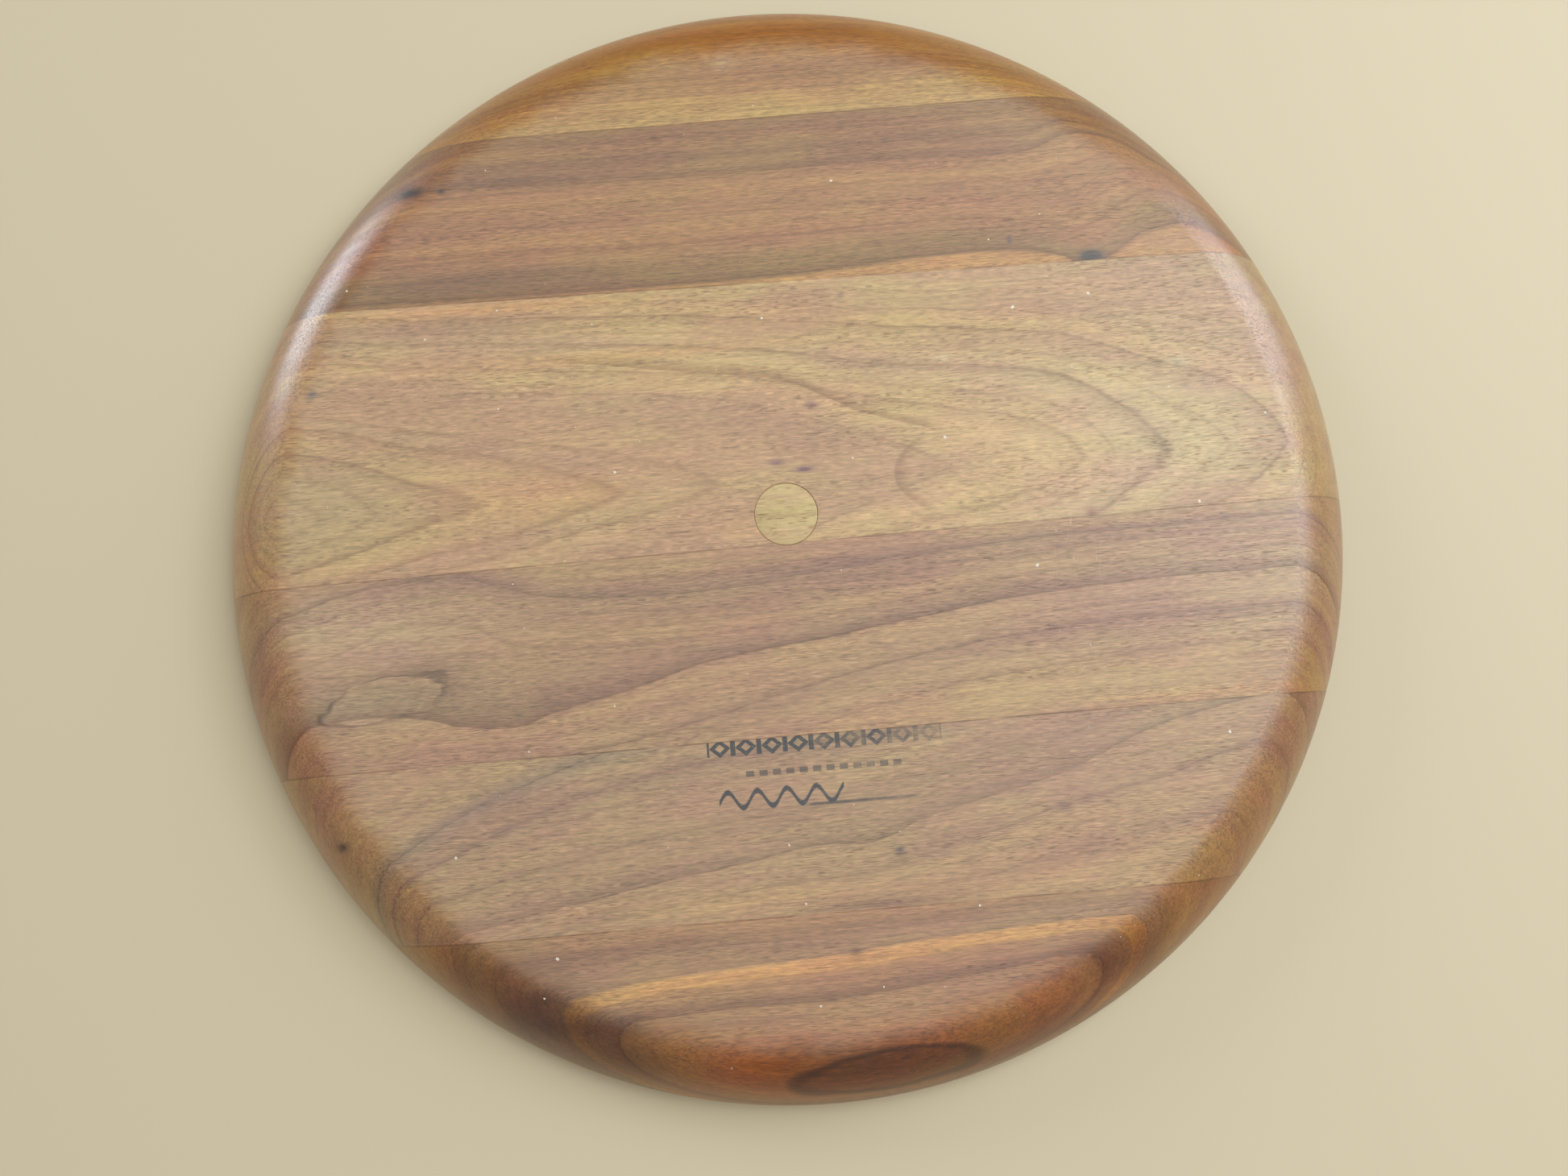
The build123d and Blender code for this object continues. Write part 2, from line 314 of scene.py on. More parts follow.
def hill_group():
    """A smooth hill at one place on the board, in millimetres; Wide and Deep are its reach along X and Y."""
    tree, w, given, result = new_group(
        "hill", {"X": 0.0, "Y": 0.0, "Wide": 10.0, "Deep": 10.0, "Height": 1.0}, {"Hill": NUMBER})
    x, y, _ = w.split(w.place())
    dx = w.math("DIVIDE", w.minus(w.times(x, 1000), given["X"]), given["Wide"])
    dy = w.math("DIVIDE", w.minus(w.times(y, 1000), given["Y"]), given["Deep"])
    far = w.add(w.times(dx, dx), w.times(dy, dy))
    hill = w.math("POWER", math.e, w.times(far, -1))
    w.feed(result["Hill"], w.times(hill, given["Height"]))
    return tree


def wobble_group():
    """How far the grain wanders sideways, in millimetres."""
    tree, w, given, result = new_group("wandering grain", {"Amount": 1.0, "Seed": 0.0}, {"Aside": NUMBER})
    x, y, z = w.split(w.place())
    place = w.join(x, y, w.add(z, given["Seed"]))
    broad = w.minus(w.noise(w.stretch(place, 9, 40, 40), detail=2.0), 0.5)
    fine = w.minus(w.noise(w.stretch(place, 50, 200, 200), detail=2.0, rough=0.6), 0.5)
    feather = w.minus(w.noise(w.stretch(place, 14, 1000, 1000), detail=2.0, rough=0.6), 0.5)
    aside = w.add(w.times(broad, 3.2), w.times(fine, 1.3), w.times(feather, 1.9))
    w.feed(result["Aside"], w.times(aside, given["Amount"]))
    return tree


def walnut_group():
    """Turns a stave's plain tones into walnut: uneven growth lines, fibres and open pores."""
    tree, w, given, result = new_group(
        "walnut", {"Tone": color(170, 134, 104), "Line": 0.0, "Line Color": color(140, 112, 104), "Measure": 0.0,
                   "Across": 0.0, "Seed": 0.0, "Contrast": 1.0},
        {"Color": COLOR, "Roughness": NUMBER, "Height": NUMBER})
    x, _, z = w.split(w.place())
    deep = w.add(z, given["Seed"])
    ring_place = w.join(x, w.times(given["Measure"], MM), deep)
    fibre_place = w.join(x, w.times(given["Across"], MM), deep)
    bands = w.minus(w.noise(w.stretch(ring_place, 5, 190, 8), detail=3.0, rough=0.55), 0.5)
    threads = w.minus(w.noise(w.stretch(fibre_place, 20, 900, 900), detail=3.0, rough=0.65), 0.5)
    hairs = w.minus(w.noise(w.stretch(fibre_place, 230, 3000, 3000), detail=2.0, rough=0.6), 0.5)
    clouds = w.minus(w.noise(w.stretch(fibre_place, 18, 55, 55), detail=3.0, rough=0.6), 0.5)
    light = w.add(1.0, w.times(w.add(w.times(bands, 0.42), w.times(threads, 0.84), w.times(hairs, 1.55),
                                     w.times(clouds, 0.34)), given["Contrast"]))
    lit = w.mix(1.0, given["Tone"], w.join(light, light, light), "MULTIPLY")
    warmth = w.mask(w.add(w.times(bands, 0.9), w.times(clouds, 1.6)), -0.35, 0.35)
    tinted = w.mix(1.0, lit, w.mix(warmth, WARM_TINTS[0], WARM_TINTS[1]), "MULTIPLY")
    ragged = w.add(LINE_DEPTH, w.times(threads, 1.2), w.times(clouds, 1.6))
    line = w.math("MULTIPLY", given["Line"], ragged, clamp=True)
    lined = w.mix(line, tinted, w.mix(1.0, tinted, given["Line Color"], "MULTIPLY"))
    dashes = w.noise(w.stretch(fibre_place, 280, 4600, 4600), detail=0.0)
    gather = w.noise(w.stretch(fibre_place, 16, 130, 130), detail=2.0)
    pores = w.times(w.mask(dashes, 0.56, 0.70), w.mask(gather, 0.30, 0.62))
    shown = w.mix(w.times(pores, 0.5), lined, w.mix(1.0, lined, PORE_SHADE, "MULTIPLY"))
    w.feed(result["Color"], shown)
    w.feed(result["Roughness"], w.add(w.times(pores, 0.2), w.times(hairs, 0.12), w.times(bands, -0.1)))
    w.feed(result["Height"], w.add(w.times(pores, -0.8), w.times(threads, 0.5), w.times(hairs, 0.3)))
    return tree


def wear_group():
    """Where the flat face is worn matt and where the rounded edge keeps its finish; specks and scratches."""
    tree, w, given, result = new_group(
        "wear", {"Reach": FLAT_R / MM - 1.0}, {"Worn": NUMBER, "Specks": NUMBER, "Scratches": NUMBER, "Seam": NUMBER})
    place = w.place()
    x, y, z = w.split(place)
    radius = w.times(w.math("SQRT", w.add(w.times(x, x), w.times(y, y))), 1000)
    ragged = w.times(w.minus(w.noise(w.stretch(place, 40, 40, 0), detail=5.0, rough=0.7), 0.5), 16.0)
    worn = w.mask(w.add(radius, ragged), w.add(given["Reach"], 6.0), w.add(given["Reach"], -6.0))
    facing_up = w.mask(z, BOARD_TOP - 4 * MM, BOARD_TOP - 0.6 * MM)
    w.feed(result["Worn"], w.times(worn, facing_up))
    cells = w.node("ShaderNodeTexVoronoi", voronoi_dimensions="2D", feature="F1")
    w.feed(cells.inputs["Vector"], place)
    cells.inputs["Scale"].default_value = 34.0
    size = w.remap(w.math("POWER", w.node_out("ShaderNodeSeparateColor", cells.outputs["Color"])[0], 4.0),
                   0.0, 1.0, 0.002, 0.024)
    shape = w.add(cells.outputs["Distance"], w.times(w.minus(w.noise(place, 900, 2), 0.5), 0.05))
    w.feed(result["Specks"], w.times(w.mask(shape, size, w.times(size, 0.6)), facing_up))
    long_marks = w.noise(w.stretch(place, 260, 24, 1), detail=0.0, distortion=0.6)
    thin = w.mask(w.math("ABSOLUTE", w.minus(long_marks, 0.5)), 0.004, 0.0)
    few = w.mask(w.noise(place, 14, 1), 0.66, 0.72)
    w.feed(result["Scratches"], w.times(w.times(thin, few), facing_up))
    off = None
    for across, turn in GLUE_LINES:
        away = w.math("ABSOLUTE", w.minus(w.minus(w.times(y, 1000), across),
                                          w.times(x, 1000 * math.tan(math.radians(turn)))))
        off = away if off is None else w.math("MINIMUM", off, away)
    w.feed(result["Seam"], w.times(w.mask(off, 0.4, 0.12), w.mask(w.noise(place, 60, detail=3.0), 0.25, 0.6)))
    return tree


# How the wood is coloured and finished. The flat face is worn matt; the rounded edge keeps its film.
LINE_DEPTH = 0.6
WARM_TINTS = (color(255, 238, 230), color(251, 252, 220))
DRY_FILM = color(168, 164, 154)
PORE_SHADE = color(150, 126, 116)
GLUE_SHADE = color(140, 112, 96)
FLECK = color(232, 226, 208)
SCRATCH = color(222, 208, 186)
EDGE_HUE, EDGE_SATURATION = 0.493, 1.12
# The edge's value: the finish darkens the wood, and the further fall from 0.77 to 0.7 going down the edge is painted
# shade on the lower rounded edge.
EDGE_VALUE_AND_SHADE = (0.77, 0.7)  # at the upper and the lower of EDGE_SHADE_DEPTH
EDGE_SHADE_DEPTH = (1.0, 3.5)  # millimetres below the flat
EDGE_ROUGH, FACE_ROUGH = 0.33, 0.47
EDGE_COAT, COAT_ROUGH = 0.5, 0.3
SPAN = 210.0  # the grain lines below are given between -SPAN and SPAN along the board


def bent(w, x, points):
    """A smooth line through given points: its Y for each X, in millimetres."""
    low, high = min(y for _, y in points) - 4, max(y for _, y in points) + 4
    made = w.node("ShaderNodeFloatCurve")
    w.feed(made.inputs["Value"], w.remap(x, -SPAN, SPAN, 0.0, 1.0))
    curve = made.mapping.curves[0]
    while len(curve.points) < len(points):
        curve.points.new(0.5, 0.5)
    for mark, (at, y) in zip(curve.points, points):
        mark.location = ((at + SPAN) / (2 * SPAN), (y - low) / (high - low))
    made.mapping.update()
    return w.remap(made.outputs[0], 0.0, 1.0, low, high)


def guided(w, x, across, guides):
    """A measure across the stave that runs along grain lines: on each line it is that line's own value.

    guides: (value, points along the line), from the near side outwards.
    """
    lines = [(value, bent(w, x, points)) for value, points in guides]
    total = w.add(lines[0][0], w.math("MINIMUM", w.minus(across, lines[0][1]), 0.0))
    for (value, line), (next_value, next_line) in zip(lines, lines[1:]):
        total = w.add(total, w.remap(across, line, next_line, 0.0, next_value - value))
    return w.add(total, w.math("MAXIMUM", w.minus(across, lines[-1][1]), 0.0))


def cathedral(w, x, across, depth, rise, middle, heart):
    """A measure that nests in points along the stave, from a heart high over it; rise is a line as in bent."""
    aside = w.minus(across, middle)
    lift = w.add(heart, bent(w, x, rise), depth)
    far = w.math("SQRT", w.add(w.times(aside, aside), w.times(lift, lift)))
    near_arm = w.times(w.math("MAXIMUM", w.times(aside, -1.0), 0.0), 0.13)
    far_arm = w.times(w.math("MAXIMUM", aside, 0.0), 0.035)
    return w.add(w.minus(far, heart), near_arm, far_arm)


def line_ramp(w, measure, lines):
    """How dark the growth lines are: each is (measure, reach of its fade, strength), sharp on its other side."""
    low = min(at - abs(fade) for at, fade, _ in lines) - 2
    high = max(at + abs(fade) for at, fade, _ in lines) + 2
    stops = []
    for at, fade, strength in sorted(lines):
        fade *= 0.75
        edge = math.copysign(min(0.4, abs(fade) * 0.3), fade)
        marks = [(at - edge, 0.0), (at, strength), (at + fade * 0.24, strength * 0.4), (at + fade, 0.0)]
        stops += marks if fade > 0 else marks[::-1]
    return w.ramp(w.remap(measure, low, high, 0.0, 1.0),
                  [((at - low) / (high - low), (value, value, value, 1.0)) for at, value in sorted(stops)])


def empty_material(name):
    """A material with an empty tree, and its wiring."""
    material = bpy.data.materials.new(name)
    material.use_nodes = True
    material.node_tree.nodes.clear()
    return material, Wiring(material.node_tree)


def walnut(name, seed, grain, tones, lines, line_shade, lean=1.5, wander=1.0, swirls=(), spots=(), contrast=1.0,
           extra=None):
    """One stave's walnut.

    grain(w, x, across, depth) measures across the growth lines; tones are (measure, colour); lines are as in
    line_ramp, in lists of up to seven; lean is how far the grain goes sideways for each millimetre down.
    """
    material, w = empty_material(name)
    x, y, z = (w.times(part, 1000) for part in w.split(w.place()))
    depth = w.minus(BOARD_TOP / MM, z)
    moved = w.add(y, w.group(GROUPS["wobble"], amount=wander, seed=seed)["Aside"])
    for at_x, at_y, wide, deep, height in swirls:
        moved = w.add(moved, w.group(GROUPS["hill"], x=at_x, y=at_y, wide=wide, deep=deep, height=height)["Hill"])
    across = w.add(moved, w.times(depth, lean))
    measure = grain(w, x, across, depth)
    low, high = tones[0][0], tones[-1][0]
    tone = w.ramp(w.remap(measure, low, high, 0.0, 1.0),
                  [((at - low) / (high - low), color(*shade)) for at, shade in tones])
    for at_x, at_y, wide, deep, strength, shade in spots:
        near = w.group(GROUPS["hill"], x=at_x, y=at_y, wide=wide, deep=deep, height=strength)["Hill"]
        tone = w.mix(w.math("MINIMUM", near, 1.0), tone, color(*shade))
    line = line_ramp(w, measure, lines[0])
    for more in lines[1:]:
        line = w.math("MAXIMUM", line, line_ramp(w, measure, more))
    wood = w.group(GROUPS["walnut"], tone=tone, line=line, line_color=color(*line_shade), measure=measure,
                   across=across, seed=seed, contrast=contrast)
    wear = w.group(GROUPS["wear"])
    shown = wood["Color"]
    if extra:
        shown = extra(w, x, y, shown)

    # The finish deepens the edge's colour; its value also falls going down the edge, which is painted shade.
    edge_finish_and_shade = w.node("ShaderNodeHueSaturation")
    edge_finish_and_shade.inputs["Hue"].default_value = EDGE_HUE
    edge_finish_and_shade.inputs["Saturation"].default_value = EDGE_SATURATION
    w.feed(edge_finish_and_shade.inputs["Value"], w.remap(depth, *EDGE_SHADE_DEPTH, *EDGE_VALUE_AND_SHADE))
    w.feed(edge_finish_and_shade.inputs["Color"], shown)
    finished = w.mix(wear["Worn"], edge_finish_and_shade.outputs[0], w.mix(0.15, shown, DRY_FILM))
    speckled = w.mix(w.times(wear["Specks"], 0.85), finished, FLECK)
    scratched = w.mix(w.times(wear["Scratches"], 0.3), speckled, SCRATCH)
    glued = w.mix(1.0, scratched, GLUE_SHADE, "MULTIPLY")
    seamed = w.mix(w.times(wear["Seam"], 0.5), scratched, glued)

    shader = w.node("ShaderNodeBsdfPrincipled")
    w.feed(shader.inputs["Base Color"], seamed)
    dull = w.remap(wear["Worn"], 0.0, 1.0, EDGE_ROUGH, FACE_ROUGH)
    w.feed(shader.inputs["Roughness"], w.add(dull, wood["Roughness"]))
    w.feed(shader.inputs["Coat Weight"], w.remap(wear["Worn"], 0.0, 1.0, EDGE_COAT, 0.0))
    shader.inputs["Coat Roughness"].default_value = COAT_ROUGH
    shader.inputs["Specular IOR Level"].default_value = 0.62
    bump = w.node("ShaderNodeBump")
    bump.inputs["Strength"].default_value = 0.35
    bump.inputs["Distance"].default_value = 0.00012
    w.feed(bump.inputs["Height"], w.add(wood["Height"], w.times(wear["Scratches"], -0.4)))
    w.feed(shader.inputs["Normal"], bump.outputs[0])
    w.feed(w.node("ShaderNodeOutputMaterial").inputs["Surface"], shader.outputs[0])
    return material


def far_stave():
    """Pale straight-grained walnut."""
    def grain(w, x, across, depth):
        return across
    return walnut(
        "walnut pale straight", 1.0, grain,
        [(148, (188, 153, 102)), (152, (194, 159, 106)), (156, (184, 145, 96)), (160, (190, 151, 98)),
         (164, (176, 135, 89)), (169, (168, 127, 84)), (174, (182, 143, 93)), (180, (176, 133, 84)),
         (187, (170, 122, 73)), (196, (178, 129, 78)), (215, (166, 116, 67))],
        [[(153.5, 1.2, 0.4), (157.5, 1.5, 0.45), (161.0, 1.8, 0.5), (165.5, 1.5, 0.6), (168.5, 2.0, 0.5),
          (172.5, 1.5, 0.35)]],
        (150, 118, 96), lean=1.3, wander=0.5, spots=[(-10, 174, 4, 3, 0.6, (206, 180, 140))])


def red_stave():
    """Straight reddish walnut with a dark band along its near side and two small knots."""
    band_low = [(-205, 89), (-100, 88), (-40, 87.5), (0, 87.5), (45, 90), (70, 91.2), (90, 91), (100, 89.5),
                (110, 86.5), (118, 83.5), (125, 85.5), (133, 90), (142, 94), (160, 96), (205, 96)]
    band_high = [(-205, 101), (-100, 99.5), (-40, 97.5), (0, 97.5), (60, 100), (80, 99.5), (95, 97.5), (108, 93),
                 (118, 90), (126, 93.5), (135, 100), (145, 104), (160, 105), (205, 104)]
    middle = [(-205, 113), (-60, 114), (0, 113.5), (60, 112.5), (95, 110.5), (110, 110), (122, 114), (132, 118),
              (145, 119), (205, 116)]
    upper = [(-205, 131), (-120, 131.5), (-60, 130), (0, 129.5), (60, 129.5), (90, 128.5), (105, 130.5),
             (118, 134.5), (130, 134.5), (145, 130), (205, 126)]

    def grain(w, x, across, depth):
        return guided(w, x, across, [(87.5, band_low), (97.5, band_high), (113.5, middle), (129.5, upper),
                                     (150.5, [(-205, 150.5), (205, 150.5)])])
    return walnut(
        "walnut red straight", 2.0, grain,
        [(82, (196, 150, 99)), (86.5, (192, 145, 94)), (88, (146, 110, 74)), (92, (150, 115, 79)),
         (97, (158, 122, 85)), (99, (170, 129, 92)), (104, (166, 123, 88)), (108, (178, 133, 96)),
         (113, (174, 130, 96)), (118, (170, 128, 94)), (123, (178, 135, 96)), (128, (172, 131, 94)),
         (131, (148, 112, 83)), (134, (164, 125, 90)), (138, (150, 114, 85)), (142, (166, 127, 90)),
         (147, (156, 118, 85)), (151, (154, 118, 85)), (165, (150, 114, 83))],
        [[(88.6, 3.5, 0.8), (94.5, 2.0, 0.35), (98.4, 1.4, 0.35), (103.6, 1.2, 0.5), (109.5, 1.0, 0.3),
          (114.5, 1.2, 0.55), (121.3, 1.3, 0.5)],
         [(129.6, 3.0, 0.65), (137.0, 1.6, 0.4), (141.0, 1.2, 0.2), (145.6, 1.0, 0.45)]],
        (162, 128, 104), lean=1.5, wander=0.55,
        spots=[(-90, 133.5, 36, 3.6, 0.5, (128, 96, 84)), (-110, 95, 40, 5, 0.35, (118, 92, 80)),
               (118.8, 86.6, 4.2, 2.2, 1.7, (52, 52, 62)), (-128.5, 132, 5.4, 2.4, 1.1, (62, 48, 36)),
               (-116.6, 131.4, 1.6, 1.0, 1.2, (92, 76, 72)), (89.5, 95, 1.0, 1.6, 0.8, (96, 80, 92)),
               (148, 90, 20, 6, 0.6, (176, 138, 104)),
               (122, 96, 9, 6, 0.35, (186, 140, 104))])


def gold_stave():
    """The light middle stave with its pointed cathedral figure."""
    rise = [(-210, -11), (-176, -9.3), (-155, -8), (-130, -6.3), (-110, -5.5), (-92, -4.5), (-58, -3), (-24, -1.5),
            (0, 0), (20, 1.7), (40, 3.0), (60, 4.0), (80, 4.9), (97, 6.0), (107, 7), (119, 8.7), (137, 11.2),
            (160, 13.5), (180, 16.5), (210, 21)]

    def grain(w, x, across, depth):
        return cathedral(w, x, across, depth, rise, 11.0, 125.0)

    def marks(w, x, y, shown):
        sweep = bent(w, x, [(-210, 74), (-140, 69), (-74, 62), (-30, 55), (0, 50), (19, 41), (32, 34.5), (57, 26),
                            (70, 20), (210, -20)])
        near = w.minus(y, sweep)
        side = w.times(w.mask(near, -0.7, 0.0), w.mask(near, 4.5, 0.0))
        reach = w.times(w.mask(x, 60.0, 50.0), w.mask(x, -110.0, -40.0))
        aside = w.minus(y, 11.0)
        into = w.minus(w.minus(x, 40.0), w.times(w.times(aside, aside), 0.055))
        fold = w.times(w.mask(into, -1.2, 0.0), w.mask(into, 6.0, 0.0))
        fold = w.times(fold, w.mask(w.math("ABSOLUTE", aside), 16.0, 8.0))
        both = w.add(w.times(w.times(side, reach), 0.5), w.times(fold, 0.4))
        return w.mix(both, shown, w.mix(1.0, shown, color(172, 148, 130), "MULTIPLY"))
    return walnut(
        "walnut gold cathedral", 3.0, grain,
        [(-12, (190, 160, 126)), (-8, (188, 158, 126)), (-5.6, (192, 158, 124)), (-5.2, (197, 163, 125)),
         (-3.2, (196, 162, 126)), (-2.6, (192, 160, 128)), (-1, (198, 166, 128)), (1.5, (192, 160, 126)),
         (3.5, (194, 162, 128)), (5.5, (206, 174, 132)), (8, (202, 170, 130)), (11, (196, 166, 132)),
         (13, (200, 168, 130)), (15.5, (190, 156, 120)), (18, (204, 170, 126)), (20.5, (190, 158, 122)),
         (24, (196, 164, 126)), (30, (190, 160, 126)), (45, (184, 156, 124))],
        [[(-8.6, 0.8, 0.35), (-7.3, 0.8, 0.35), (-5.5, -1.0, 0.6), (-3.0, -1.0, 0.65), (-1.5, -0.8, 0.6),
          (1.2, 0.8, 0.15), (4.0, -0.5, 0.5)],
         [(7.0, -1.2, 0.6), (8.6, -0.8, 0.35), (11.2, -1.5, 0.7), (13.4, -0.8, 0.35), (16.5, -1.1, 0.7),
          (19.4, -0.6, 0.45), (23.0, -0.7, 0.4)]],
        (146, 114, 94), lean=0.0, wander=1.25, contrast=0.85,
        spots=[(-85, 14, 34, 8, 0.35, (220, 176, 122)), (-160, 18, 28, 17, 0.3, (182, 160, 132)),
               (78, 14, 30, 12, 0.3, (222, 188, 138)),
               (-100, 84.5, 48, 2.0, 0.7, (222, 176, 116)), (-122, 78.5, 34, 4.5, 0.55, (168, 140, 114)),
               (-50, 63, 50, 2.4, 0.5, (216, 174, 118)), (-166, 57.5, 2.0, 1.5, 0.9, (126, 118, 118)),
               (-2, 19, 3.0, 1.2, 0.9, (138, 108, 112)), (7.8, 15.6, 3.4, 1.0, 1.1, (126, 94, 108)),
               (12.5, 39, 2.4, 1.8, 0.8, (146, 116, 112)), (17.5, 30, 3.2, 1.0, 0.5, (156, 124, 114)),
               (26, 79, 1.4, 1.0, 0.6, (134, 110, 106)), (147, 34, 1.0, 1.4, 0.6, (150, 128, 112)),
               (145, 44, 3.4, 2.2, 0.4, (226, 216, 198)),
               # The broad pale grey patch at (150, 20) is a painted sheen on the right of the flat face.
               (60.5, 52.5, 2.6, 0.9, 0.45, (226, 214, 192)), (150, 20, 60, 40, 0.25, (214, 200, 176)),
               (107.5, -8.3, 2.0, 1.6, 0.9, (158, 118, 98)), (-12, -4, 16, 5, 0.4, (222, 184, 132))],
        extra=marks)


def brown_stave():
    """Brown wavy walnut with a grey eye in its left end."""
    arch = [(-205, -30), (-175, -21), (-155, -15), (-135, -12.5), (-120, -12), (-107, -15), (-95, -19), (-80, -22.5),
            (-60, -24), (-20, -24), (0, -22), (40, -18.5), (66, -16), (110, -14.5), (205, -14)]
    second = [(-205, -48), (-170, -41), (-151, -34), (-135, -29), (-117, -29.5), (-105, -36), (-95, -39.5),
              (-80, -41), (-40, -41), (0, -38), (50, -32), (90, -28), (205, -25)]
    strong = [(-205, -74), (-180, -64), (-164, -60), (-145, -59.5), (-128, -62), (-117, -65), (-101, -66.5),
              (-86, -62.5), (-67, -59), (-45, -53.5), (-30, -49.5), (0, -46), (50, -39.5), (87, -35.5), (110, -34),
              (205, -34)]
    lower = [(-205, -94), (-120, -84), (-74, -77), (-55, -74), (-36, -70), (0, -62), (37, -54.5), (75, -49.5),
             (110, -47), (205, -46)]
    lowest = [(-205, -114), (-74, -94), (0, -76), (37, -68), (75, -62), (110, -59.5), (205, -57)]

    def grain(w, x, across, depth):
        return guided(w, x, across, [(-76, lowest), (-62, lower), (-46, strong), (-38, second), (-22, arch),
                                     (-10.5, [(-205, -10.5), (205, -10.5)])])

    def eye(w, x, y, shown):
        dx = w.math("DIVIDE", w.add(x, 143.0), 20.5)
        dy = w.math("DIVIDE", w.add(y, 33.5, w.times(x, -0.14)), 7.6)
        wavy = w.times(w.minus(w.noise(w.stretch(w.place(), 40, 95, 1), detail=3.0), 0.5), 1.15)
        far = w.add(w.math("SQRT", w.add(w.times(dx, dx), w.times(dy, dy))), wavy)
        patchy = w.mask(w.noise(w.stretch(w.place(), 30, 60, 1), detail=2.0), 0.36, 0.56)
        ring = w.math("MAXIMUM", w.times(w.mask(far, 0.9, 1.0), w.mask(far, 1.12, 1.0)),
                      w.times(w.times(w.mask(far, 0.95, 1.05), w.mask(far, 1.7, 1.05)), 0.4))
        rim = w.times(ring, w.add(0.45, w.times(patchy, 0.55)))
        inside = w.mask(far, 1.05, 0.75)
        grey = w.mix(w.times(inside, 0.2), shown, w.mix(1.0, shown, color(226, 232, 232), "MULTIPLY"))
        return w.mix(w.times(rim, 0.85), grey, w.mix(1.0, grey, color(150, 140, 140), "MULTIPLY"))
    return walnut(
        "walnut brown wavy", 4.0, grain,
        [(-96, (178, 142, 108)), (-77.5, (186, 150, 114)), (-74, (180, 144, 114)), (-67, (176, 140, 112)),
         (-62.5, (168, 132, 108)), (-58, (178, 141, 114)), (-50, (180, 142, 114)), (-46.5, (178, 140, 112)),
         (-45, (164, 129, 106)), (-41, (168, 132, 108)), (-36, (178, 140, 112)), (-30, (172, 135, 110)),
         (-25, (170, 134, 110)), (-21, (158, 124, 106)), (-17, (176, 140, 112)), (-12, (182, 146, 116)),
         (0, (176, 142, 112))],
        [[(-76, 2.5, 0.45), (-69, 2.0, 0.3), (-62, 3.0, 0.65), (-55, 2.0, 0.2), (-46, 5.0, 1.0)],
         [(-38, 2.2, 0.4), (-33, 1.5, 0.25), (-28, 1.5, 0.3), (-22.6, 2.8, 0.65), (-17, 1.5, 0.3),
          (-13.5, 1.2, 0.3)]],
        (136, 108, 104), lean=1.5, wander=0.8,
        spots=[(145, -75, 34, 2.4, 0.6, (212, 172, 118)), (-120, -15, 24, 4, 0.25, (140, 118, 106)),
               (-152, -30, 52, 15, 0.6, (198, 171, 148)), (-150, -56, 36, 8, 0.55, (196, 172, 144)),
               # The broad pale grey patch at (170, -30) is a painted sheen on the right of the flat face.
               (170, -30, 60, 25, 0.3, (206, 184, 158))],
        extra=eye)


def slanted_stave():
    """Medium brown walnut whose lines run uphill to the right."""
    fan = [(-205, -128), (-150, -112), (-131, -102), (-118, -95.5), (-105, -90), (-90, -84.5), (-60, -76), (0, -66),
           (60, -60), (205, -50)]
    upper = [(-205, -140), (-150, -120), (-130, -112), (-100, -100), (-60, -88.5), (-30, -83.5), (0, -81), (20, -80),
             (60, -73), (205, -55)]
    third = [(-205, -150), (-150, -131), (-120, -122), (-80, -113), (-40, -106.5), (0, -103), (20, -101), (40, -96.5),
             (60, -91), (85, -86), (112, -79), (140, -72), (205, -60)]
    main = [(-205, -158), (-150, -140), (-100, -131.5), (-60, -124.5), (-20, -118.5), (0, -115), (20, -115.3),
            (37, -109.5), (60, -104.5), (87, -97.5), (105, -90), (119, -84.5), (137, -80), (205, -70)]
    fifth = [(-205, -166), (-100, -140), (-40, -131), (0, -127), (20, -125.5), (37, -121), (60, -116), (90, -108),
             (120, -102), (140, -96), (205, -84)]
    last = [(-205, -180), (-100, -150), (-40, -141), (0, -137), (40, -131.5), (60, -129), (90, -124), (130, -117),
            (205, -104)]

    def grain(w, x, across, depth):
        return guided(w, x, across, [(-137, last), (-127, fifth), (-115, main), (-103, third), (-81, upper),
                                     (-66, fan)])
    return walnut(
        "walnut brown slanted", 5.0, grain,
        [(-160, (176, 138, 106)), (-142, (182, 144, 108)), (-137, (174, 137, 106)), (-131, (182, 146, 112)),
         (-127, (170, 135, 108)), (-121, (178, 143, 113)), (-115.5, (176, 141, 112)), (-114, (160, 127, 104)),
         (-108, (176, 142, 113)), (-103, (166, 133, 108)), (-96, (180, 146, 116)), (-88, (176, 143, 115)),
         (-81, (164, 133, 110)), (-75, (178, 146, 116)), (-66, (156, 132, 114)), (-60, (178, 146, 116)),
         (-40, (180, 146, 116))],
        [[(-137, 1.8, 0.4), (-132, 1.6, 0.3), (-127, 2.2, 0.5), (-121, 1.6, 0.3), (-115, 3.2, 0.8)],
         [(-108.5, 1.8, 0.3), (-103, 2.4, 0.5), (-96.5, 1.5, 0.3), (-89, 1.5, 0.2), (-81, 2.4, 0.45),
          (-73, 1.6, 0.25), (-66, 2.6, 0.75)]],
        (140, 114, 104), lean=1.8, wander=0.8,
        spots=[(29, -119, 1.6, 1.3, 1.0, (104, 88, 92)), (86, -109.3, 2.6, 1.6, 0.9, (146, 112, 102)),
               (-103, -101, 1.4, 1.0, 0.6, (140, 116, 104)), (-161, -103, 2.6, 1.6, 0.9, (92, 70, 60)),
               (25, -136.2, 22, 1.4, 0.7, (126, 88, 72)), (-30, -131, 60, 3.5, 0.3, (202, 158, 112))],
        extra=ink_mark)


